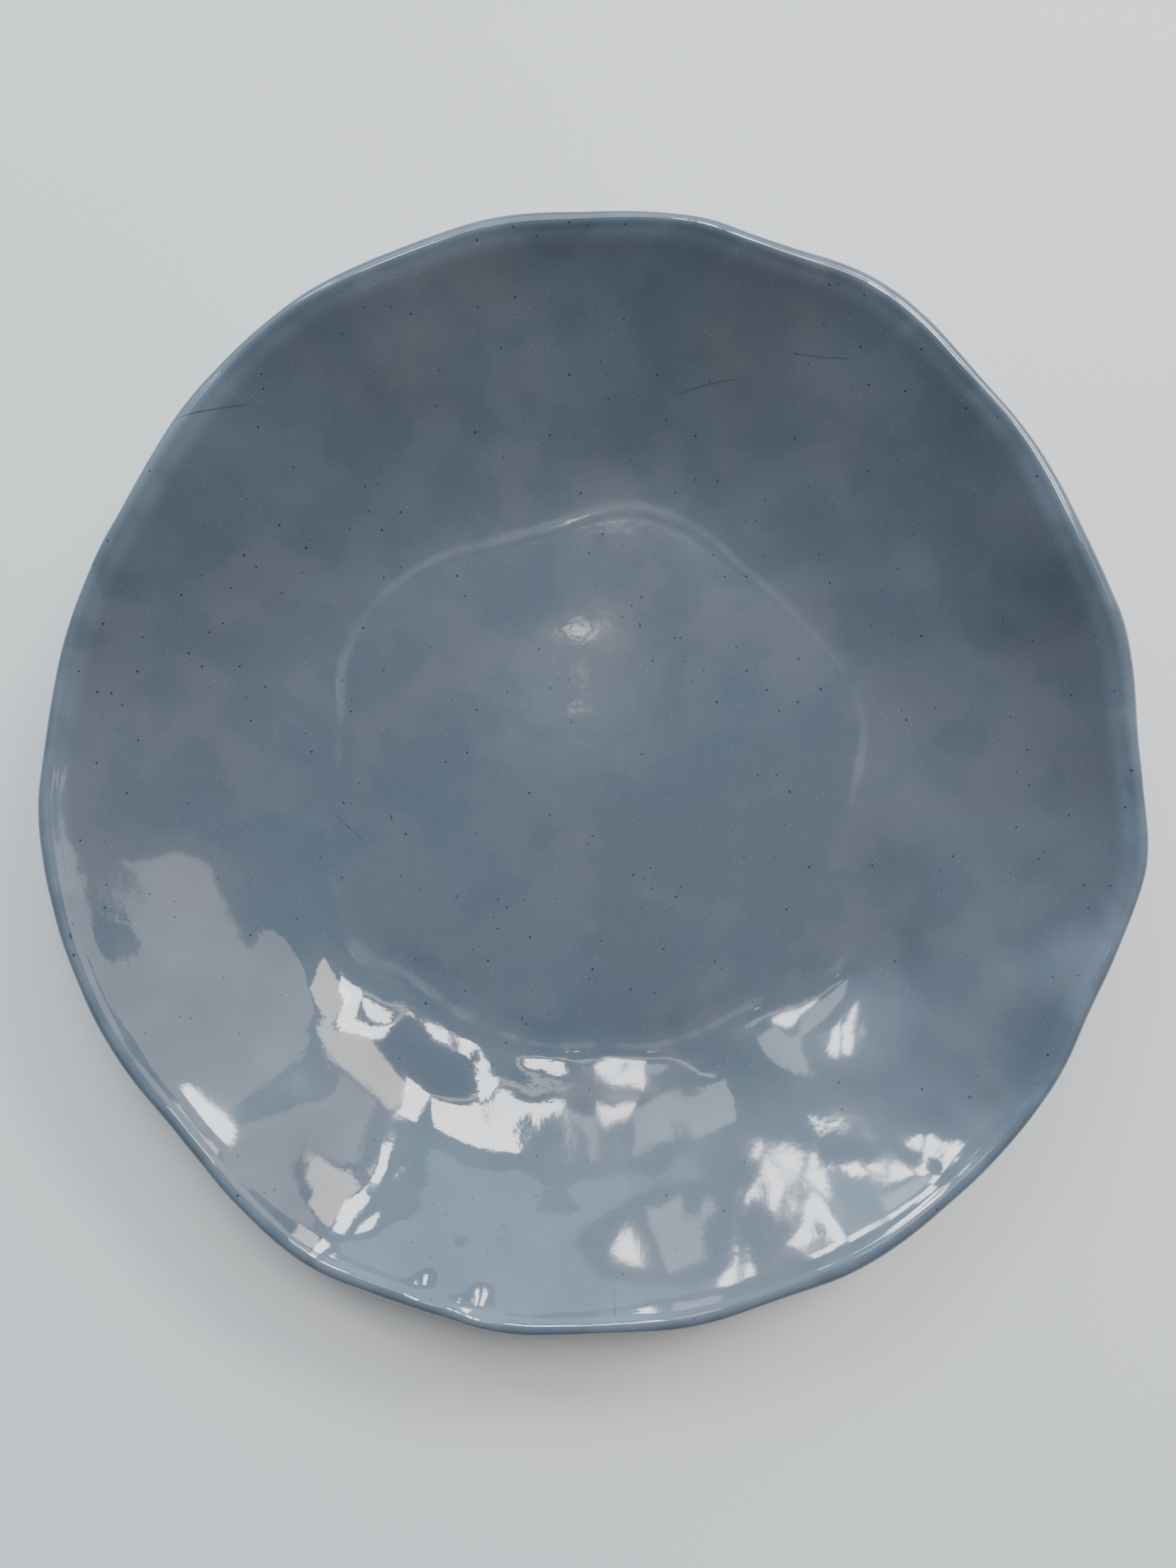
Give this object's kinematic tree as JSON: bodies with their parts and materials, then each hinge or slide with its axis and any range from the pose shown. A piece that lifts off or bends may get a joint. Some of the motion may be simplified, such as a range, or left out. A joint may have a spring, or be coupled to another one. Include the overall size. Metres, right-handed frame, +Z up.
{
  "type": "serving platter",
  "caption": "Large shallow round serving platter with a flat floor, a curved wall, a thick hand-pinched wavy rim and a bare clay foot ring, coated in glossy blue-grey glaze.",
  "frame": {"origin": "centre of the foot ring's contact face, on the surface that the platter stands on", "axes": "+Z up out of the dish, along the axis of the foot ring; +X and +Y lie in the plane of the table"},
  "size_m": [0.3988, 0.4043, 0.0614],
  "materials": {
    "fired_clay": "matte, fine grained, speckled",
    "bare_clay": "matte, sanded smooth where it stands, speckled",
    "blue_glaze": "glossy, slightly rippled, mottled blue-grey with fine dark and pale specks"
  },
  "bodies": {
    "root": {"clay_dish": "fired_clay", "foot_ring": "bare_clay", "inside_glaze": "blue_glaze", "outside_glaze": "blue_glaze", "recess_glaze": "blue_glaze"}
  },
  "joints": []
}
